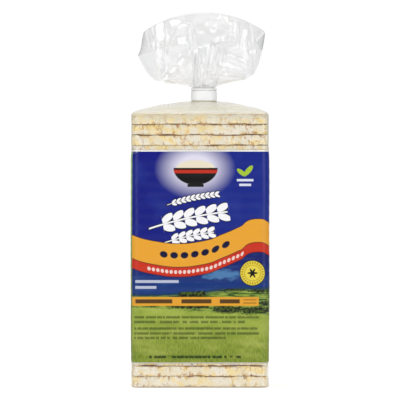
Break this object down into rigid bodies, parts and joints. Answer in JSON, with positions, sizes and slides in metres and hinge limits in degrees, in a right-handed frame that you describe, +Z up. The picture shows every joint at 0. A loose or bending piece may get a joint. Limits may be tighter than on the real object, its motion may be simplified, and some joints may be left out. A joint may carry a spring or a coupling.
{
  "type": "bag of puffed rice cakes",
  "caption": "Sealed clear bag of square puffed rice cakes, standing, with a printed wrap of fields and waves and a white band round its gathered top.",
  "frame": {"origin": "middle of the flat base, on the surface that the bag stands on", "axes": "+Z up along the stack of cakes, +X to the right across the printed front, +Y to the back"},
  "size_m": [0.095, 0.095, 0.2548],
  "materials": {
    "clear_film": "clear glossy film over puffed rice cakes, crumpled where it is gathered",
    "white_band": "white tape, slightly creased"
  },
  "bodies": {
    "root": {"bag": "clear_film", "neck_band": "white_band"}
  },
  "joints": []
}
